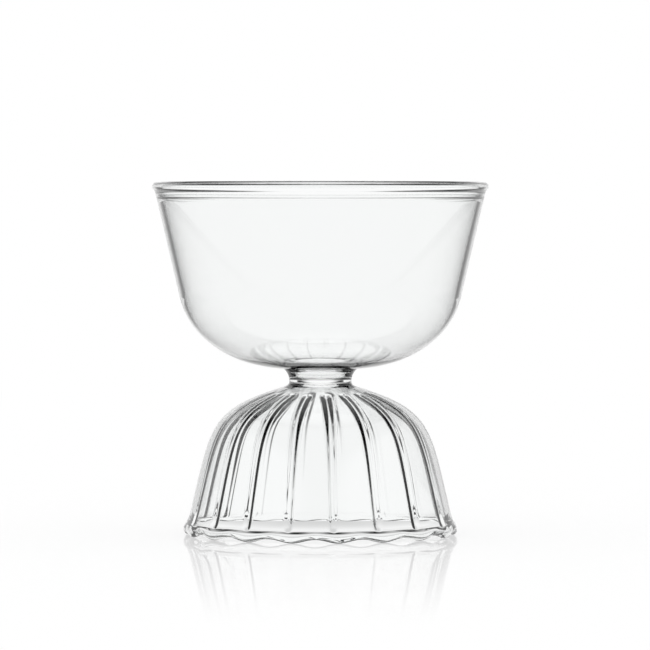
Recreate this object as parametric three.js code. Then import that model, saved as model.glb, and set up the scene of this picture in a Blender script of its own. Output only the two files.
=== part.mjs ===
// A hand-blown water glass in clear glass: a plain tapered bowl on a hollow bell foot that is
// ribbed inside, joined by a short waisted neck. Millimetres, +Z up. The origin is on the axis,
// in the plane that the foot stands on.

import * as THREE from "three";

// Heights of the three welded pieces.
const FOOT_HEIGHT = 42.4;
const NECK_HEIGHT = 4.4;
const BOWL_HEIGHT = 52.8;

// Bowl: a straight tapered wall over a round belly, thinnest where the belly turns. Its floor
// is open in the middle, over the well in the neck.
const MOUTH_DIAMETER = 95.1;
const WALL_TAPER = 13.1;
const BOWL_WALL = 1.5;
const BOWL_FLOOR = 1.1;
const BELLY_THINNING = 0.45;
const BELLY_HEIGHT = 20.25;
const BELLY_SLOPE = 3;
const RIM_SWELL = 1.3;
const WELL_LEAD_IN = 0.8;

// Neck: a waisted plug of glass with a small round well in its top.
const WAIST_DIAMETER = 17.5;
const WAIST_HEIGHT = 0.8;
const TOP_FLARE = 3.5;
const BOTTOM_FLARE = 0.5;
const WELL_DIAMETER = 12.6;
const WELL_FLOOR_DIAMETER = 9.4;
const WELL_DEPTH = 2.9;
const WELL_CORNER = 1;

// Foot: a hollow bell with a flared base edge, thickened to an oval lip and scalloped.
const BASE_DIAMETER = 77;
const FOOT_WALL = 1.4;
const THROAT_DIAMETER = 10.2;
const CROWN_REACH = 1.7;
const CROWN_DROP = 0.85;
const SHOULDER_SLOPE = 17.1;
const SKIRT_TAPER = 13.7;
const HEM_HEIGHT = 7;
const LIP_FLARE = 2;
const LIP_HEIGHT = 3.5;
const LIP_THICKNESS = 2.5;
const LIP_FLAT = 1.05;
const LIP_OUTER_JOIN = 50;
const LIP_INNER_JOIN = 30;
const SCALLOP_HEIGHT = 1;

// Round ribs down the inside of the foot, counted from the front towards +X. They start bluntly
// below the crown, where they are highest and widest, and run out in the lip.
const RIB_COUNT = 18;
const RIB_HEIGHT = 0.7;
const RIB_WIDTH = 2.2;
const HEM_RIB_HEIGHT = 0.5;
const HEM_RIB_WIDTH = 1.7;
const FIRST_RIB_ANGLE = 7.8;
const RIB_START = 2;
const RIB_FADE = 1.5;
const RIB_RUNOUT = 2.3;

// How far a curve keeps to the direction it starts or ends in, as a share of its run.
const BELLY_TOP_HOLD = 0.52;
const BELLY_FLOOR_HOLD = 0.573;
const WAIST_HOLD = 0.61;
const CROWN_HOLD = 0.9;
const DOME_TOP_HOLD = 0.85;
const DOME_HEM_HOLD = 0.694;
const FLARE_HOLD = 0.72;

// Smoothness: divisions of the longer curves, and turning steps. Those of the foot crowd
// towards the ribs, and the lowest share of each scallop is flat.
const CURVE_STEPS = 10;
const BEAD_STEPS = 8;
const BOWL_SEGMENTS = 60;
const NECK_SEGMENTS = 48;
const SEGMENTS_PER_RIB = 6;
const CROWDING = 0.8;
const FLAT_SHARE = 0.08;

const { lerp, smoothstep } = THREE.MathUtils;
const DEGREE = Math.PI / 180;
const WAIST_RADIUS = WAIST_DIAMETER / 2;
const NECK_TOP_RADIUS = WAIST_RADIUS + TOP_FLARE / 2;
const NECK_BOTTOM_RADIUS = WAIST_RADIUS + BOTTOM_FLARE / 2;
const WELL_RADIUS = WELL_DIAMETER / 2;
const WELL_FLOOR_RADIUS = WELL_FLOOR_DIAMETER / 2;
const THROAT_RADIUS = THROAT_DIAMETER / 2;

function point(r, z) {
  return new THREE.Vector2(r, z);
}

function quadratic(start, control, end, divisions) {
  return new THREE.QuadraticBezierCurve(start, control, end).getPoints(divisions);
}

// Points round an oval between two angles, taken in the order given.
function arc(centre, radii, from, to, divisions) {
  const points = [];
  for (let i = 0; i <= divisions; i += 1) {
    const angle = from + (to - from) * i / divisions;
    points.push(point(Math.cos(angle), Math.sin(angle)).multiply(radii).add(centre));
  }
  return points;
}

// The unit vector to the right of a curve's direction of travel.
function rightOf(curve, t) {
  const tangent = curve.getTangent(t);
  return point(tangent.y, -tangent.x);
}

// Points at a varying depth to the right of a curve.
function inset(curve, divisions, depthAt) {
  const points = [];
  for (let i = 0; i <= divisions; i += 1) {
    const t = i / divisions;
    points.push(curve.getPoint(t).addScaledVector(rightOf(curve, t), depthAt(t)));
  }
  return points;
}

// Joins runs of points into one profile, without repeating the points where runs meet.
function chain(...runs) {
  return runs.flat().filter((p, i, all) => i === 0 || p.distanceTo(all[i - 1]) > 1e-6);
}

// Turns a profile of radius and height about the vertical axis.
function turned(profile, segments) {
  return new THREE.LatheGeometry(profile, segments).rotateX(Math.PI / 2);
}

function bowlProfile() {
  const taper = WALL_TAPER * DEGREE;
  const up = point(Math.sin(taper), Math.cos(taper));
  const out = point(Math.cos(taper), -Math.sin(taper));
  const half = BOWL_WALL / 2;
  const bead = half + RIM_SWELL / 2;
  const rim = point(MOUTH_DIAMETER / 2 - bead, BOWL_HEIGHT - bead);
  const onWall = (rise, side) => rim.clone().addScaledVector(up, rise).addScaledVector(out, side);

  // The bead is round, and runs into each face of the wall through a small hollow.
  const roundTo = Math.PI - Math.asin((bead + half) / (2 * bead));
  const beadEnd = bead * Math.cos(roundTo);
  const corner = beadEnd + (bead * Math.sin(roundTo) - half) * Math.tan(roundTo);
  const hollow = corner - RIM_SWELL;
  const middle = Math.PI / 2 - taper;
  const beadRound = arc(rim, point(bead, bead), middle - roundTo, middle + roundTo, BEAD_STEPS);
  const outerHollow = quadratic(onWall(hollow, half), onWall(corner, half), beadRound[0], 2);
  const innerHollow = quadratic(beadRound.at(-1), onWall(corner, -half), onWall(hollow, -half), 2);

  // The belly leaves the straight wall smoothly and ends at the flat that meets the neck. Inside,
  // the floor dips over that flat into the well.
  const bellyTop = onWall((BELLY_HEIGHT - rim.y + half * out.x * Math.tan(taper)) / up.y, half);
  const flatEdge = point(NECK_TOP_RADIUS, 0);
  const spread = BELLY_FLOOR_HOLD * (bellyTop.x - flatEdge.x);
  const belly = new THREE.CubicBezierCurve(
    bellyTop,
    bellyTop.clone().addScaledVector(up, -BELLY_TOP_HOLD * BELLY_HEIGHT),
    flatEdge.clone().add(point(spread, spread * Math.tan(BELLY_SLOPE * DEGREE))),
    flatEdge,
  );
  const thickness = (t) => lerp(BOWL_WALL, BOWL_FLOOR, t) - BELLY_THINNING * Math.sin(Math.PI * t);
  const outerBelly = belly.getPoints(CURVE_STEPS).reverse();
  const innerBelly = inset(belly, CURVE_STEPS, thickness);
  const dip = point(WELL_RADIUS + WELL_LEAD_IN, WELL_LEAD_IN);
  const floor = quadratic(innerBelly.at(-1), dip, point(WELL_RADIUS, 0), 3);
  return chain(outerBelly, outerHollow, beadRound, innerHollow, innerBelly, floor, [flatEdge]);
}

function neckProfile() {
  const top = point(NECK_TOP_RADIUS, NECK_HEIGHT);
  const waist = point(WAIST_RADIUS, WAIST_HEIGHT);
  const bottom = point(NECK_BOTTOM_RADIUS, 0);
  const lower = quadratic(bottom, point(WAIST_RADIUS, lerp(WAIST_HEIGHT, 0, WAIST_HOLD)), waist, 2);
  const upper = quadratic(waist, point(WAIST_RADIUS, lerp(WAIST_HEIGHT, NECK_HEIGHT, WAIST_HOLD)), top, 5);

  // The well's side starts at 45 degrees, where the bowl's floor leads in, and steepens towards
  // its rounded bottom.
  const wellFloor = NECK_HEIGHT - WELL_DEPTH;
  const sideBend = point(WELL_FLOOR_RADIUS, NECK_HEIGHT - (WELL_RADIUS - WELL_FLOOR_RADIUS));
  const sideFoot = point(WELL_FLOOR_RADIUS, wellFloor + WELL_CORNER);
  const side = quadratic(point(WELL_RADIUS, NECK_HEIGHT), sideBend, sideFoot, 3);
  const cornerBend = point(WELL_FLOOR_RADIUS, wellFloor);
  const corner = quadratic(sideFoot, cornerBend, point(WELL_FLOOR_RADIUS / 2, wellFloor), 3);
  return chain([point(0, 0)], lower, upper, side, corner, [point(0, wellFloor)]);
}

// The foot's section between ribs, from the neck down the outside and back up the inside. The
// two runs stay apart, so that the ribs can be raised on the inside alone.
function footProfile() {
  const joint = point(NECK_BOTTOM_RADIUS, FOOT_HEIGHT);
  const crown = point(joint.x + CROWN_REACH, FOOT_HEIGHT - CROWN_DROP);
  const hem = point(BASE_DIAMETER / 2 - LIP_FLARE, HEM_HEIGHT);
  const shoulder = point(Math.cos(SHOULDER_SLOPE * DEGREE), -Math.sin(SHOULDER_SLOPE * DEGREE));
  const skirt = point(Math.sin(SKIRT_TAPER * DEGREE), -Math.cos(SKIRT_TAPER * DEGREE));
  const dome = new THREE.CubicBezierCurve(
    crown,
    crown.clone().addScaledVector(shoulder, DOME_TOP_HOLD * (hem.x - crown.x)),
    hem.clone().addScaledVector(skirt, -DOME_HEM_HOLD * (crown.y - hem.y)),
    hem,
  );
  const innerDome = inset(dome, CURVE_STEPS, () => FOOT_WALL).reverse();

  // The crown runs out of the neck with a hollow above and a rounded throat below.
  const crownControl = crown.clone().addScaledVector(shoulder, -CROWN_HOLD * CROWN_REACH / shoulder.x);
  const outerCrown = quadratic(joint, crownControl, crown, 3);
  const innerCrown = innerDome.at(-1);
  const throatRise = (innerCrown.x - THROAT_RADIUS) * Math.tan(SHOULDER_SLOPE * DEGREE);
  const throat = point(THROAT_RADIUS, innerCrown.y + throatRise);
  const innerThroat = quadratic(innerCrown, throat, point(THROAT_RADIUS, FOOT_HEIGHT), 4);

  // The lip is an upright oval with a narrow flat under it.
  const lip = point(LIP_THICKNESS / 2, LIP_HEIGHT / 2);
  const flatAngle = Math.acos(LIP_FLAT / LIP_THICKNESS);
  const lipCentre = point(BASE_DIAMETER / 2 - lip.x, lip.y * Math.sin(flatAngle));
  const outerLip = arc(lipCentre, lip, LIP_OUTER_JOIN * DEGREE, -flatAngle, 4);
  const innerLip = arc(lipCentre, lip, flatAngle - Math.PI, -Math.PI - LIP_INNER_JOIN * DEGREE, 3);
  const flare = hem.y - outerLip[0].y;
  const outerBend = hem.clone().addScaledVector(skirt, FLARE_HOLD * flare);
  const innerBend = innerDome[0].clone().addScaledVector(skirt, FLARE_HOLD * flare);
  const outerFlare = quadratic(hem, outerBend, outerLip[0], 3);
  const innerFlare = quadratic(innerLip.at(-1), innerBend, innerDome[0], 2);

  const outside = chain(outerCrown, dome.getPoints(CURVE_STEPS), outerFlare, outerLip);
  const inside = chain(innerLip, innerFlare, innerDome, innerThroat);
  return { outside, inside, crown, hem };
}

// Crowds the turning steps towards the ribs, where the shape changes fastest.
function crowded(turn) {
  return turn - CROWDING / RIB_COUNT * Math.sin(RIB_COUNT * turn);
}

function footGeometry() {
  const { outside, inside, crown, hem } = footProfile();
  const profile = [...outside, ...inside, outside[0]].reverse();
  const outsideStart = profile.length - outside.length;
  const segments = RIB_COUNT * SEGMENTS_PER_RIB;
  const geometry = new THREE.LatheGeometry(profile, segments);
  const position = geometry.attributes.position;
  const pitch = 2 * Math.PI / RIB_COUNT;
  const ribTop = crown.x + RIB_START;

  for (let i = 0; i < position.count; i += 1) {
    const step = i % profile.length;
    const { x: radius, y: height } = profile[step];
    const turn = crowded(Math.floor(i / profile.length) * pitch / SEGMENTS_PER_RIB);
    const fromRib = (turn + pitch / 2) % pitch - pitch / 2;

    // Ribs rise out of the crown, grow lower and narrower, and run out above the lip's middle.
    const upward = smoothstep(height, hem.y, crown.y);
    const width = lerp(HEM_RIB_WIDTH, RIB_WIDTH, upward);
    const across = Math.min(Math.abs(fromRib) * radius / (width / 2), 1);
    const ridge = Math.sqrt(1 - across ** 2) * lerp(HEM_RIB_HEIGHT, RIB_HEIGHT, upward);
    const start = smoothstep(radius, ribTop, ribTop + RIB_FADE);
    const end = smoothstep(height, LIP_HEIGHT / 2, LIP_HEIGHT / 2 + RIB_RUNOUT);
    const proud = step < outsideStart ? ridge * start * end : 0;

    // The lip's lower edge lifts between ribs, and stands on the flats at the ribs.
    const wave = (1 - Math.cos(RIB_COUNT * turn)) / 2;
    const lifted = Math.max(0, wave - FLAT_SHARE) / (1 - FLAT_SHARE);
    const lift = SCALLOP_HEIGHT * lifted * (1 - smoothstep(height, 0, LIP_HEIGHT));

    // A rib stands square to the dome: inwards on the skirt, downwards near the crown.
    const steepness = smoothstep(radius, crown.x, hem.x);
    const slope = (90 - SHOULDER_SLOPE) * DEGREE * (1 - steepness);
    const r = radius - proud * Math.cos(slope);
    const z = height + lift - proud * Math.sin(slope);
    const angle = turn + FIRST_RIB_ANGLE * DEGREE;
    position.setXYZ(i, r * Math.sin(angle), z, r * Math.cos(angle));
  }
  return geometry.rotateX(Math.PI / 2);
}

function piece(name, geometry, height) {
  const material = new THREE.MeshStandardMaterial({ color: 0xe9f1f0, roughness: 0.05, opacity: 0.35 });
  material.transparent = true;
  const mesh = new THREE.Mesh(geometry, material);
  mesh.name = name;
  mesh.position.z = height;
  return mesh;
}

const waterGlass = new THREE.Group();
waterGlass.name = "water_glass";
waterGlass.add(piece("fluted_foot", footGeometry(), 0));
waterGlass.add(piece("neck_collar", turned(neckProfile(), NECK_SEGMENTS), FOOT_HEIGHT));
waterGlass.add(piece("bowl", turned(bowlProfile(), BOWL_SEGMENTS), FOOT_HEIGHT + NECK_HEIGHT));

export default waterGlass;
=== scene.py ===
"""A clear hand-blown water glass: a plain bowl on a ribbed bell foot, welded at a short neck."""

import math

import bpy
import numpy as np
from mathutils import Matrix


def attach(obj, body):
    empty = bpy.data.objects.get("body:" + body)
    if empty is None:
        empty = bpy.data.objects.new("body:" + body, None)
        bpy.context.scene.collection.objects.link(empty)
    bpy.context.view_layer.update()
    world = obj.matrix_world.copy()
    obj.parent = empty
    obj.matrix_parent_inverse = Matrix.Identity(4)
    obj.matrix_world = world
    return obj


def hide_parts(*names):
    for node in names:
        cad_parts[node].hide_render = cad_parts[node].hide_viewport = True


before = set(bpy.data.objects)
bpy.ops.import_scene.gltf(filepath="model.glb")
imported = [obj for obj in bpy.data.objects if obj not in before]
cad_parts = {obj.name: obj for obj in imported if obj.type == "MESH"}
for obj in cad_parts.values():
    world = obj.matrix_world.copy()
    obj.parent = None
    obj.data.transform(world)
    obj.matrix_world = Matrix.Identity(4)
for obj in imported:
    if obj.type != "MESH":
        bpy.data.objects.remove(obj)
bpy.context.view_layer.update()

# Heights of the pieces. Sizes of the glass are in millimetres and degrees.
FOOT_HEIGHT = 42.4
NECK_HEIGHT = 4.4
BOWL_HEIGHT = 52.35

# Bowl. The ridge is a faint ring inside, below the rim.
MOUTH_DIAMETER = 94.5
WALL_TAPER = 13.1
BOWL_WALL = 1.5
BOWL_FLOOR = 1.1
BELLY_THINNING = 0.45
BELLY_HEIGHT = 20.25
BELLY_SLOPE = 3.0
RIM_SWELL = 1.0
RIDGE_HEIGHT = 0.15
RIDGE_WIDTH = 0.7
RIDGE_DROP = 4.25
WELL_LEAD_IN = 0.825

# Neck, with the bowl's well sunk into its top. The well's wall draws in by the draft, most of it by
# the brim's depth, and rounds into the floor from the corner's height.
WAIST_DIAMETER = 17.5
WAIST_HEIGHT = 0.792
TOP_FLARE = 3.5
BOTTOM_FLARE = 0.5
WELL_DIAMETER = 14.6
WELL_FLOOR_DIAMETER = 11.2
WELL_DEPTH = 2.9
WELL_DRAFT = 0.3
WELL_BRIM = 0.58
WELL_CORNER = 1.015

# Foot, open below, with ribs down its inside and one scallop of the base edge to each rib.
BASE_DIAMETER = 77.0
FOOT_WALL = 1.4
THROAT_DIAMETER = 10.2
CROWN_REACH = 1.7
CROWN_DROP = 0.85
SHOULDER_SLOPE = 17.1
SKIRT_TAPER = 13.7
HEM_HEIGHT = 7.0
LIP_FLARE = 2.0
LIP_HEIGHT = 3.5
LIP_THICKNESS = 2.5
LIP_OUTER_JOIN = 50.0
LIP_INNER_JOIN = 30.0
SCALLOP_HEIGHT = 1.0
RIB_COUNT = 18
RIB_HEIGHT = 0.9
RIB_WIDTH = 3.4
HEM_RIB_HEIGHT = 0.48
HEM_RIB_WIDTH = 3.2
FIRST_RIB_ANGLE = 7.8
RIB_START = 3.4
RIB_FADE = 0.8
RIB_RUNOUT = 2.3

# Handwork: the ribs stray a little from the low points of the scallops.
FRONT_STRAY = -2.1
BACK_STRAY = 2.2

# Places of the curves' control points, as shares of a height or width.
BELLY_TOP_HOLD = 0.52
BELLY_FLOOR_HOLD = 0.573
NECK_BOTTOM_HOLD = 0.3
WAIST_HOLD = 0.68
CROWN_HOLD = 0.9
DOME_TOP_HOLD = 0.85
DOME_HEM_HOLD = 0.694
FLARE_HOLD = 0.72
INNER_FLARE_HOLD = 0.9

# Steps along each curve and round the axis. Crowding draws the steps together at the ribs.
BEAD_STEPS = 36
HOLLOW_STEPS = 8
BELLY_STEPS = 50
WALL_STEPS = 16
RIDGE_STEPS = 16
OVER_RIDGE_STEPS = 4
LEAD_IN_STEPS = 16
NECK_BOTTOM_STEPS = 10
WAIST_STEPS = 24
WELL_STEPS = 14
WELL_FLOOR_STEPS = 6
DOME_STEPS = 70
CROWN_STEPS = 14
THROAT_STEPS = 18
LIP_STEPS = 40
FLARE_STEPS = 16
INNER_FLARE_STEPS = 12
BOWL_STEPS = 256
NECK_STEPS = 192
STEPS_PER_RIB = 32
CROWDING = 0.6

WAIST_RADIUS = WAIST_DIAMETER / 2
WELL_RADIUS = WELL_DIAMETER / 2
THROAT_RADIUS = THROAT_DIAMETER / 2
NECK_TOP_RADIUS = WAIST_RADIUS + TOP_FLARE / 2
NECK_BOTTOM_RADIUS = WAIST_RADIUS + BOTTOM_FLARE / 2
PITCH = 2 * math.pi / RIB_COUNT
MM = 0.001
TOUCHING = 1e-6


def point(r, z):
    return np.array((r, z), float)


def bezier(controls, count):
    """Points along a Bezier curve, and the unit vectors to the right of its travel."""
    t = np.linspace(0, 1, count + 1)[:, None]
    level = [np.repeat(np.asarray(c, float)[None], count + 1, 0) for c in controls]
    while len(level) > 2:
        level = [a + (b - a) * t for a, b in zip(level, level[1:])]
    travel = level[1] - level[0]
    right = np.stack((travel[:, 1], -travel[:, 0]), 1)
    return level[0] + travel * t, right / np.linalg.norm(right, axis=1)[:, None]


def arc(centre, radius, start, end, count):
    """Part of a circle, or of an oval where the radius is a pair."""
    a = np.linspace(start, end, count + 1)
    return centre + np.stack((np.cos(a), np.sin(a)), 1) * radius


def chain(*runs):
    """One run of points, without repeating the points where runs meet."""
    points = np.vstack(runs)
    apart = np.linalg.norm(np.diff(points, axis=0), axis=1) > TOUCHING
    return points[np.concatenate(([True], apart))]


def smoothstep(x, low, high):
    t = np.clip((x - low) / (high - low), 0, 1)
    return t * t * (3 - 2 * t)


def bowl_profile():
    """From the weld under the bowl up the outside, over the rim and down to the well's edge."""
    taper = math.radians(WALL_TAPER)
    up = point(math.sin(taper), math.cos(taper))
    out = point(math.cos(taper), -math.sin(taper))
    half = BOWL_WALL / 2
    bead = half + RIM_SWELL / 2
    rim = point(MOUTH_DIAMETER / 2 - bead, BOWL_HEIGHT - bead)

    def on_wall(rise, side):
        return rim + rise * up + side * out

    # The bead is a circle round the top of the wall, joined to it by a hollow on each side.
    round_to = math.pi - math.asin((bead + half) / (2 * bead))
    corner = bead * math.cos(round_to) + (bead * math.sin(round_to) - half) * math.tan(round_to)
    hollow = corner - RIM_SWELL
    middle = math.pi / 2 - taper
    bead_round = arc(rim, bead, middle - round_to, middle + round_to, BEAD_STEPS)
    outer_hollow, _ = bezier(
        (on_wall(hollow, half), on_wall(corner, half), bead_round[0]), HOLLOW_STEPS,
    )
    inner_hollow, _ = bezier(
        (bead_round[-1], on_wall(corner, -half), on_wall(hollow, -half)), HOLLOW_STEPS,
    )

    belly_top = on_wall((BELLY_HEIGHT - rim[1] + half * math.sin(taper)) / up[1], half)
    flat_edge = point(NECK_TOP_RADIUS, 0)
    spread = BELLY_FLOOR_HOLD * (belly_top[0] - flat_edge[0])
    belly, right = bezier((
        belly_top,
        belly_top - BELLY_TOP_HOLD * BELLY_HEIGHT * up,
        flat_edge + spread * point(1, math.tan(math.radians(BELLY_SLOPE))),
        flat_edge,
    ), BELLY_STEPS)
    t = np.linspace(0, 1, BELLY_STEPS + 1)
    thickness = BOWL_WALL + (BOWL_FLOOR - BOWL_WALL) * t - BELLY_THINNING * np.sin(np.pi * t)
    inner_belly = belly + right * thickness[:, None]

    ridge_rise = (bead - RIDGE_DROP) / up[1]
    ridge = [
        on_wall(ridge_rise - t * RIDGE_WIDTH / 2, -half - RIDGE_HEIGHT * math.cos(t * math.pi / 2) ** 2)
        for t in np.linspace(-1, 1, RIDGE_STEPS + 1)
    ]
    outer_wall, _ = bezier((belly_top, on_wall(hollow, half)), WALL_STEPS)
    over_ridge, _ = bezier((on_wall(hollow, -half), ridge[0]), OVER_RIDGE_STEPS)
    inner_wall, _ = bezier((ridge[-1], inner_belly[0]), WALL_STEPS)
    lead_in, _ = bezier((
        inner_belly[-1],
        point(WELL_RADIUS + WELL_LEAD_IN, WELL_LEAD_IN),
        point(WELL_RADIUS, 0),
    ), LEAD_IN_STEPS)
    return chain(
        belly[::-1], outer_wall, outer_hollow, bead_round, inner_hollow, over_ridge, ridge,
        inner_wall, inner_belly, lead_in,
    )


def neck_profile():
    """From the middle of the underside, up the outside, and down into the well."""
    well_floor = NECK_HEIGHT - WELL_DEPTH
    well_wall = WELL_RADIUS - WELL_DRAFT
    waist = point(WAIST_RADIUS, WAIST_HEIGHT)
    lower, _ = bezier((
        point(NECK_BOTTOM_RADIUS, 0),
        point(WAIST_RADIUS, NECK_BOTTOM_HOLD * WAIST_HEIGHT),
        waist,
    ), NECK_BOTTOM_STEPS)
    upper, _ = bezier((
        waist,
        point(WAIST_RADIUS, WAIST_HOLD * NECK_HEIGHT),
        point(NECK_TOP_RADIUS, NECK_HEIGHT),
    ), WAIST_STEPS)
    brim, _ = bezier((
        point(WELL_RADIUS, NECK_HEIGHT),
        point(well_wall, NECK_HEIGHT - WELL_BRIM),
        point(well_wall, well_floor + WELL_CORNER),
    ), WELL_STEPS)
    corner, _ = bezier((
        brim[-1],
        point(well_wall, well_floor),
        point(WELL_FLOOR_DIAMETER / 2, well_floor),
    ), WELL_STEPS)
    floor, _ = bezier((corner[-1], point(0, well_floor)), WELL_FLOOR_STEPS)
    return chain([point(0, 0), point(THROAT_RADIUS, 0)], lower, upper, brim, corner, floor)


def foot_profile():
    """The section between ribs, down the outside and back up the inside, with the inward
    vectors that the ribs follow, the crown's end and the hem. The vectors are zero where no
    rib can be: on the outside and in the throat."""
    joint = point(NECK_BOTTOM_RADIUS, FOOT_HEIGHT)
    crown = point(joint[0] + CROWN_REACH, FOOT_HEIGHT - CROWN_DROP)
    hem = point(BASE_DIAMETER / 2 - LIP_FLARE, HEM_HEIGHT)
    slope = math.radians(SHOULDER_SLOPE)
    shoulder = point(math.cos(slope), -math.sin(slope))
    taper = math.radians(SKIRT_TAPER)
    skirt = point(math.sin(taper), -math.cos(taper))
    dome, right = bezier((
        crown,
        crown + DOME_TOP_HOLD * (hem[0] - crown[0]) * shoulder,
        hem - DOME_HEM_HOLD * (crown[1] - hem[1]) * skirt,
        hem,
    ), DOME_STEPS)
    inner_dome = (dome + FOOT_WALL * right)[::-1]
    crown_control = crown - CROWN_HOLD * CROWN_REACH / shoulder[0] * shoulder
    outer_crown, _ = bezier((joint, crown_control, crown), CROWN_STEPS)
    inner_crown = inner_dome[-1]
    throat = point(THROAT_RADIUS, inner_crown[1] + (inner_crown[0] - THROAT_RADIUS) * math.tan(slope))
    inner_throat, _ = bezier((inner_crown, throat, point(THROAT_RADIUS, FOOT_HEIGHT)), THROAT_STEPS)

    lip = point(LIP_THICKNESS, LIP_HEIGHT) / 2
    lip_round = arc(
        point(BASE_DIAMETER / 2, 0) + lip * (-1, 1), lip,
        math.radians(LIP_OUTER_JOIN), -math.pi - math.radians(LIP_INNER_JOIN), LIP_STEPS,
    )
    flare = hem[1] - lip_round[0][1]
    outer_flare, _ = bezier((hem, hem + FLARE_HOLD * flare * skirt, lip_round[0]), FLARE_STEPS)
    inner_hem = inner_dome[0]
    inner_flare, _ = bezier(
        (lip_round[-1], inner_hem + INNER_FLARE_HOLD * flare * skirt, inner_hem), INNER_FLARE_STEPS,
    )

    outside = chain(outer_crown, dome, outer_flare, lip_round)
    inside = chain(inner_flare, inner_dome)
    travel = np.gradient(inside, axis=0)
    inward = np.stack((-travel[:, 1], travel[:, 0]), 1)
    inward /= np.linalg.norm(inward, axis=1)[:, None]
    profile = chain(outside, inside, inner_throat)
    vectors = np.zeros_like(profile)
    vectors[len(outside) - 1:len(outside) - 1 + len(inside)] = inward
    return profile, vectors, crown, hem


def mesh_object(name, points, faces, welds):
    """A piece from points in millimetres. The weld faces are flat and keep out of the shading."""
    mesh = bpy.data.meshes.new(name)
    mesh.from_pydata((points * MM).tolist(), [], faces)
    mesh.polygons.foreach_set("use_smooth", [not w for w in welds])
    mesh.polygons.foreach_set("material_index", [int(w) for w in welds])
    mesh.update()
    edge_uses = {}
    for polygon, weld in zip(mesh.polygons, welds):
        for key in polygon.edge_keys:
            edge_uses.setdefault(key, set()).add(weld)
    sharp = [len(edge_uses[tuple(sorted(e.vertices))]) > 1 for e in mesh.edges]
    mesh.attributes.new("sharp_edge", "BOOLEAN", "EDGE").data.foreach_set("value", sharp)
    mesh.validate()
    obj = bpy.data.objects.new(name, mesh)
    bpy.context.collection.objects.link(obj)
    return obj


def round_axis(angle, r, z):
    """Points at each angle from the front, from radii and heights, one for each ring."""
    return np.stack(np.broadcast_arrays(np.sin(angle)[:, None] * r, -np.cos(angle)[:, None] * r, z), -1)


def sweep(name, rings, closed, is_weld):
    """A closed skin from rings of points, rings[step, ring]. An open run starts and ends on the
    axis with a single point; a closed one runs round from its last ring to its first."""
    steps, count = rings.shape[:2]
    index = np.arange(steps * count).reshape(steps, count)
    points = rings.reshape(-1, 3)
    faces, welds = [], []
    if not closed:
        index[:, 0] = index[0, 0]
        index[:, -1] = index[0, -1]
    for ring in range(count if closed else count - 1):
        after = (ring + 1) % count
        weld = is_weld(ring)
        for step in range(steps):
            turn = (step + 1) % steps
            corners = (index[step, ring], index[turn, ring], index[turn, after], index[step, after])
            faces.append(list(dict.fromkeys(int(c) for c in corners)))
            welds.append(weld)
    used, renumbered = np.unique(np.concatenate([np.array(f) for f in faces]), return_inverse=True)
    ends = np.cumsum([0] + [len(f) for f in faces])
    faces = [renumbered[a:b].tolist() for a, b in zip(ends, ends[1:])]
    return mesh_object(name, points[used], faces, welds)


def turned(name, profile, height, steps, closed, is_weld):
    """A skin of revolution, with its profile raised to the height."""
    angle = np.arange(steps) * 2 * math.pi / steps
    return sweep(name, round_axis(angle, profile[:, 0], profile[:, 1] + height), closed, is_weld)


def fluted(name):
    """The foot: its section swept round, with the ribs raised inwards and the edge scalloped."""
    profile, vectors, crown, hem = foot_profile()
    steps = RIB_COUNT * STEPS_PER_RIB
    even = np.arange(steps) * PITCH / STEPS_PER_RIB
    turn = even - CROWDING / RIB_COUNT * np.sin(RIB_COUNT * even)
    from_rib = (turn + PITCH / 2) % PITCH - PITCH / 2
    bearing = turn + math.radians(FIRST_RIB_ANGLE)
    stray = BACK_STRAY + (FRONT_STRAY - BACK_STRAY) * (1 + np.cos(bearing)) / 2
    angle = bearing + np.radians(stray)

    r, z = profile[:, 0], profile[:, 1]
    descent = smoothstep(-z, -crown[1], -hem[1])
    width = RIB_WIDTH + (HEM_RIB_WIDTH - RIB_WIDTH) * descent
    height = RIB_HEIGHT + (HEM_RIB_HEIGHT - RIB_HEIGHT) * descent
    across = np.minimum(np.abs(from_rib)[:, None] * r / (width / 2), 1)
    ridge = np.cos(across * math.pi / 2) ** 2
    first = crown[0] + RIB_START
    lip_middle = LIP_HEIGHT / 2
    started = smoothstep(r, first, first + RIB_FADE)
    proud = height * ridge * started * smoothstep(z, lip_middle, lip_middle + RIB_RUNOUT)

    wave = (1 - np.cos(RIB_COUNT * (angle - math.radians(FIRST_RIB_ANGLE)))) / 2
    lift = SCALLOP_HEIGHT * wave[:, None] * (1 - smoothstep(z, 0, LIP_HEIGHT))
    rings = round_axis(angle, r + proud * vectors[:, 0], z + proud * vectors[:, 1] + lift)
    return sweep(name, rings[:, ::-1], True, lambda ring: ring == len(profile) - 1)


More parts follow.
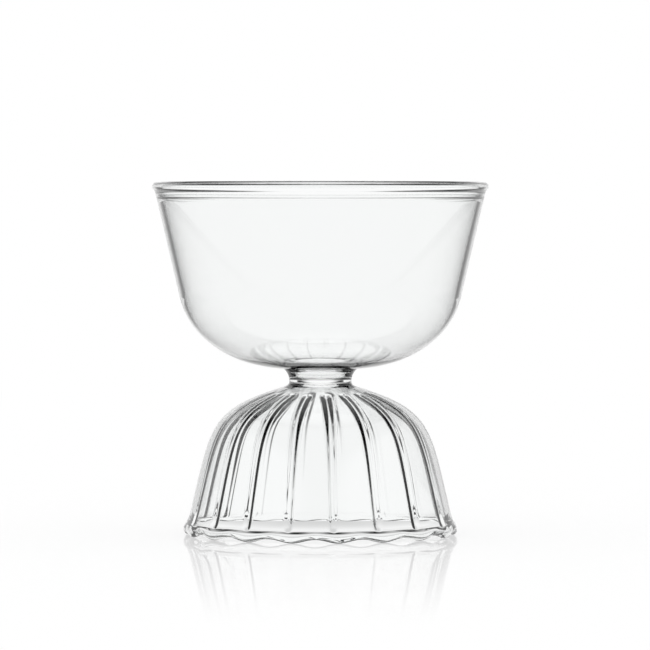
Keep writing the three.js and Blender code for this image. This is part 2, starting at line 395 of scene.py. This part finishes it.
class Graph:
    """The shader nodes of a material or world, which start empty."""

    def __init__(self, owner):
        owner.use_nodes = True
        self.tree = owner.node_tree
        self.tree.nodes.clear()

    def add(self, kind, inputs=(), **settings):
        """A new node. Inputs are values or other nodes' sockets, by name or number."""
        node = self.tree.nodes.new(kind)
        for key, value in settings.items():
            setattr(node, key, value)
        for key, value in dict(inputs).items():
            if isinstance(value, bpy.types.NodeSocket):
                self.tree.links.new(value, node.inputs[key])
            else:
                node.inputs[key].default_value = value
        return node

    def math(self, operation, *values):
        return self.add("ShaderNodeMath", dict(enumerate(values)), operation=operation).outputs[0]

    def fold(self, operation, first, *others):
        for other in others:
            first = self.math(operation, first, other)
        return first

    def product(self, *values):
        return self.fold("MULTIPLY", *values)

    def largest(self, *values):
        return self.fold("MAXIMUM", *values)

    def ramp(self, value, span, start, end):
        """Runs smoothly from start to end as the value crosses the span."""
        return self.add("ShaderNodeMapRange", {
            "Value": value, "From Min": span[0], "From Max": span[1], "To Min": start, "To Max": end,
        }, interpolation_type="SMOOTHSTEP").outputs["Result"]

    def either(self, chooser, first, second):
        """The first value where the chooser is 0, the second where it is 1."""
        return self.add("ShaderNodeMix", {0: chooser, 2: first, 3: second}).outputs[0]


# Glass: slightly rippled from blowing, in streaks along the axis, with a thin film on parts of it.
GLASS_TINT = (0.985, 0.992, 0.99, 1)
GLASS_IOR = 1.473
RIPPLE_SCALE = (60, 60, 14)
RIPPLE_DETAIL = 2.0
RIPPLE_STRENGTH = 0.03
RIPPLE_DEPTH = 0.001
FILM_SCALE = 90.0
FILM_DETAIL = 3.0
FILM_SPAN = (0.5, 0.9)
FILM_ROUGHNESS = 0.02


def clear_glass():
    material = bpy.data.materials.new("clear_glass")
    graph = Graph(material)
    where = graph.add("ShaderNodeTexCoord").outputs["Object"]
    stretched = graph.add("ShaderNodeMapping", {"Vector": where, "Scale": RIPPLE_SCALE}).outputs[0]
    ripple = graph.add("ShaderNodeTexNoise", {
        "Vector": stretched, "Scale": 1.0, "Detail": RIPPLE_DETAIL,
    }).outputs[0]
    bump = graph.add("ShaderNodeBump", {
        "Height": ripple, "Strength": RIPPLE_STRENGTH, "Distance": RIPPLE_DEPTH,
    }).outputs[0]
    film = graph.add("ShaderNodeTexNoise", {
        "Vector": where, "Scale": FILM_SCALE, "Detail": FILM_DETAIL,
    }).outputs[0]
    shader = graph.add("ShaderNodeBsdfPrincipled", {
        "Base Color": GLASS_TINT, "Roughness": graph.ramp(film, FILM_SPAN, 0.0, FILM_ROUGHNESS),
        "IOR": GLASS_IOR, "Transmission Weight": 1.0, "Normal": bump,
    }).outputs[0]
    graph.add("ShaderNodeOutputMaterial", {"Surface": shader})
    return material


def weld_glass():
    """Inside a weld the glass is continuous, so light goes straight through."""
    material = bpy.data.materials.new("weld_glass")
    graph = Graph(material)
    shader = graph.add("ShaderNodeBsdfTransparent").outputs[0]
    graph.add("ShaderNodeOutputMaterial", {"Surface": shader})
    return material


glass, weld = clear_glass(), weld_glass()
bowl_points = bowl_profile()
neck_points = neck_profile()

# The weld faces follow these rings: the bowl's last, and the neck's at its throat and widest point.
bowl_weld = len(bowl_points) - 1
neck_welds = (1, int(np.argmax(neck_points[:, 0])))
bowl = turned(
    "bowl_glass", bowl_points, FOOT_HEIGHT + NECK_HEIGHT, BOWL_STEPS, True, lambda ring: ring == bowl_weld,
)
neck = turned(
    "neck_glass", neck_points, FOOT_HEIGHT, NECK_STEPS, False, lambda ring: ring in neck_welds,
)
foot = fluted("foot_glass")
for piece, node in ((bowl, "bowl"), (neck, "neck_collar"), (foot, "fluted_foot")):
    piece.data.materials.append(glass)
    piece.data.materials.append(weld)
    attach(piece, "root")
    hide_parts(node)

# Camera, in metres and degrees, with the sensor in millimetres. The picture is square, in pixels,
# and its middle falls on the aim, a point of the axis plane.
PICTURE = 650
PIXELS_PER_METRE = 3558.0
AIM = (0.0013, 0.0, 0.0590)
CAMERA_DISTANCE = 1.66
CAMERA_ELEVATION = 1.84
SENSOR = 36.0
CLIP_END = 100.0


def place_camera():
    data = bpy.data.cameras.new("camera")
    data.sensor_width = SENSOR
    data.lens = PIXELS_PER_METRE * CAMERA_DISTANCE * SENSOR / PICTURE
    data.clip_end = CLIP_END
    camera = bpy.data.objects.new("camera", data)
    bpy.context.collection.objects.link(camera)
    tilt = math.radians(CAMERA_ELEVATION)
    camera.location = (
        AIM[0], AIM[1] - CAMERA_DISTANCE * math.cos(tilt), AIM[2] + CAMERA_DISTANCE * math.sin(tilt),
    )
    camera.rotation_euler = (math.pi / 2 - tilt, 0, 0)
    bpy.context.scene.camera = camera


place_camera()

# Floor: white, with a polish that dies away from the glass. Spans named REACH are metres from
# the axis. Slants run from 0, looking straight down, to 1, looking along the floor.
FLOOR_RADIUS = 0.9
FLOOR_SIDES = 96
WHITE = (1, 1, 1, 1)
FLOOR_COLOUR = (0.3, 0.3, 0.3, 1)
FLOOR_GLOW = 0.7
POLISH = 0.45
POLISH_REACH = (0.03, 0.32)
POLISH_POWER = 4.0
POLISH_ROUGHNESS = 0.015
EVEN_BLEND = 0.5

# Through the glass the floor under the foot has a painted contact shadow: a dark ring near the base edge,
# deepest at the low points of the scallops, wider in front, and faint from steep and from level slants.
# The floor there also greys towards a level view, which is painted shade too.
RING_REACH = (0.033, 0.0355)
FRONT_REACH = (0.014, 0.031)
FRONT_BEARING = (-0.2, 0.3)
STANDING_MEAN = 0.75
STANDING_WAVE = 0.25
STEEP_SLANT = (0.25, 0.4)
STEEP_RING = 0.1
LEVEL_SLANT = (0.62, 0.7)
LEVEL_RING = 0.15
GREY_SLANT = (0.8, 0.92)
LEAST_GREY = 0.02
GREY = 0.3


def painted_ring_shadow(graph, place, reach, slant):
    """How bright the floor under the foot looks through the glass, with its painted shadow and shade."""
    x, y, _ = graph.add("ShaderNodeSeparateXYZ", {0: place}).outputs
    forward = graph.math("MULTIPLY", y, -1.0)
    bearing = graph.math("ARCTAN2", x, forward)
    phase = graph.math("MULTIPLY_ADD", bearing, float(RIB_COUNT), -RIB_COUNT * math.radians(FIRST_RIB_ANGLE))
    standing = graph.math("MULTIPLY_ADD", graph.math("COSINE", phase), STANDING_WAVE, STANDING_MEAN)
    front = graph.product(
        graph.ramp(graph.math("DIVIDE", forward, reach), FRONT_BEARING, 0.0, 1.0),
        graph.ramp(reach, FRONT_REACH, 0.0, 1.0),
    )
    ring = graph.product(
        standing,
        graph.largest(graph.ramp(reach, RING_REACH, 0.0, 1.0), front),
        graph.ramp(slant, STEEP_SLANT, STEEP_RING, 1.0),
        graph.ramp(slant, LEVEL_SLANT, 1.0, LEVEL_RING),
    )
    return graph.math("SUBTRACT", 1.0, graph.largest(ring, graph.ramp(slant, GREY_SLANT, LEAST_GREY, GREY)))


def white_floor():
    material = bpy.data.materials.new("floor_white")
    graph = Graph(material)
    place = graph.add("ShaderNodeNewGeometry").outputs["Position"]
    reach = graph.add("ShaderNodeVectorMath", {0: place}, operation="LENGTH").outputs["Value"]
    slant = graph.add("ShaderNodeLayerWeight", {"Blend": EVEN_BLEND}).outputs["Facing"]
    polish = graph.product(
        graph.ramp(reach, POLISH_REACH, POLISH, 0.0), graph.math("POWER", slant, POLISH_POWER),
    )
    matt = graph.add("ShaderNodeBsdfDiffuse", {"Color": FLOOR_COLOUR}).outputs[0]
    glow = graph.add("ShaderNodeEmission", {"Color": WHITE, "Strength": FLOOR_GLOW}).outputs[0]
    body = graph.add("ShaderNodeAddShader", {0: matt, 1: glow}).outputs[0]
    gloss = graph.add("ShaderNodeBsdfGlossy", {"Color": WHITE, "Roughness": POLISH_ROUGHNESS}).outputs[0]
    bare = graph.add("ShaderNodeMixShader", {0: polish, 1: body, 2: gloss}).outputs[0]

    # Through the glass the floor outside the foot is clear, so that the studio shows instead.
    # Inside the foot the floor glows with the painted shadow and shade instead of being lit.
    shade = painted_ring_shadow(graph, place, reach, slant)
    under = graph.add("ShaderNodeEmission", {"Color": WHITE, "Strength": shade}).outputs[0]
    clear = graph.add("ShaderNodeBsdfTransparent").outputs[0]
    outside = graph.math("GREATER_THAN", reach, BASE_DIAMETER / 2 * MM)
    beneath = graph.add("ShaderNodeMixShader", {0: outside, 1: under, 2: clear}).outputs[0]
    through_glass = graph.add("ShaderNodeLightPath").outputs["Is Transmission Ray"]
    surface = graph.add("ShaderNodeMixShader", {0: through_glass, 1: bare, 2: beneath}).outputs[0]
    graph.add("ShaderNodeOutputMaterial", {"Surface": surface})
    return material


floor_mesh = bpy.data.meshes.new("floor")
floor_angle = np.arange(FLOOR_SIDES) * 2 * math.pi / FLOOR_SIDES
floor_edge = round_axis(floor_angle, np.array([FLOOR_RADIUS]), 0.0)[:, 0]
floor_mesh.from_pydata(floor_edge.tolist(), [], [list(range(FLOOR_SIDES))])
floor_mesh.materials.append(white_floor())
floor = bpy.data.objects.new("floor", floor_mesh)
bpy.context.collection.objects.link(floor)
floor.visible_glossy = False


def sines(*degrees):
    return tuple(math.sin(math.radians(d)) for d in degrees)


# World: white to the eye and for the floor. Light that has come through the glass sees a studio:
# a bright band ahead, overhead and behind, bright sides with dark between them and the band, a pale
# table, and two more dark gaps, one low and one high. Spans hold parts of the unit direction: ASIDE
# is its size along x, DEPTH its part along y and RISE its part along z. LOW_GAP spans the fall, and
# HIGH_GAP and SHEEN_RISE the rise, each with its SPREAD times the part aside added.
DARK = 0.0
BAND_ASIDE = sines(12, 32)
SIDE_ASIDE = sines(32, 38)
TABLE_RISE = sines(-14, -9)
TABLE = 0.9
LOW_GAP = (0.45, 0.6)
LOW_GAP_SPREAD = 1.25
LOW_GAP_ASIDE = (0.5, 0.6)
LOW_GAP_RISE = (-0.8, -0.72)
HIGH_GAP = (0.45, 0.52)
HIGH_GAP_SPREAD = 1.5
HIGH_GAP_ASIDE = (0.05, 0.14)
HIGH_GAP_RISE = (0.1, 0.2)

# Light mirrored once inside the glass sees a plainer room, lit behind the glass and dim in front.
# Light mirrored more often sees black.
WALL_ASIDE = sines(10, 24)
PALE_RISE = (-0.03, 0.0)
PALE = 0.85
TABLE_SHARE = 0.4
ROOM_DEPTH = sines(-17, 17)
ROOM = 0.6

# Light mirrored by the outside of the glass: dark from above, and a little dimmer from below.
SHEEN_RISE = sines(8, 20)
SHEEN_SPREAD = -0.5
SHEEN = 0.1
LOW_SHEEN_RISE = sines(-25, -6)
LOW_SHEEN = 0.8


def studio_world():
    world = bpy.data.worlds.new("studio")
    graph = Graph(world)
    direction = graph.add("ShaderNodeTexCoord").outputs["Generated"]
    x, y, z = graph.add("ShaderNodeSeparateXYZ", {0: direction}).outputs
    aside = graph.math("ABSOLUTE", x)
    path = graph.add("ShaderNodeLightPath").outputs

    def after(bounces, kind):
        """1 where the light has bounced in this way more often than the number given."""
        return graph.math("GREATER_THAN", path[kind], float(bounces))

    table = graph.ramp(z, TABLE_RISE, TABLE, DARK)
    lamps = graph.largest(
        graph.ramp(aside, BAND_ASIDE, 1.0, DARK), graph.ramp(aside, SIDE_ASIDE, DARK, 1.0), table,
    )
    fall = graph.math("MULTIPLY", z, -1.0)
    low_gap = graph.product(
        graph.ramp(graph.math("MULTIPLY_ADD", aside, LOW_GAP_SPREAD, fall), LOW_GAP, 0.0, 1.0),
        graph.ramp(aside, LOW_GAP_ASIDE, 1.0, 0.0),
        graph.ramp(z, LOW_GAP_RISE, 0.0, 1.0),
    )
    high_gap = graph.product(
        graph.ramp(graph.math("MULTIPLY_ADD", aside, HIGH_GAP_SPREAD, z), HIGH_GAP, 0.0, 1.0),
        graph.ramp(aside, HIGH_GAP_ASIDE, 0.0, 1.0),
        graph.ramp(z, HIGH_GAP_RISE, 0.0, 1.0),
    )
    studio = graph.product(lamps, graph.math("SUBTRACT", 1.0, graph.largest(low_gap, high_gap)))

    lit = graph.largest(
        graph.ramp(aside, WALL_ASIDE, 1.0, DARK),
        graph.ramp(z, PALE_RISE, DARK, PALE),
        graph.product(table, TABLE_SHARE),
    )
    room = graph.either(graph.ramp(y, ROOM_DEPTH, 0.0, 1.0), ROOM, lit)

    sheen = graph.math(
        "MINIMUM",
        graph.ramp(graph.math("MULTIPLY_ADD", aside, SHEEN_SPREAD, z), SHEEN_RISE, 1.0, SHEEN),
        graph.ramp(z, LOW_SHEEN_RISE, LOW_SHEEN, 1.0),
    )

    mirrored = after(0, "Glossy Depth")
    through = graph.either(mirrored, studio, graph.either(after(1, "Glossy Depth"), room, DARK))
    outside = graph.either(mirrored, 1.0, sheen)
    by_glass = graph.either(after(0, "Transmission Depth"), outside, through)
    seen = graph.either(after(0, "Diffuse Depth"), by_glass, 1.0)
    background = graph.add("ShaderNodeBackground", {"Color": WHITE, "Strength": seen}).outputs[0]
    graph.add("ShaderNodeOutputWorld", {"Surface": background})
    return world


bpy.context.scene.world = studio_world()
bpy.context.scene.view_settings.view_transform = "Standard"
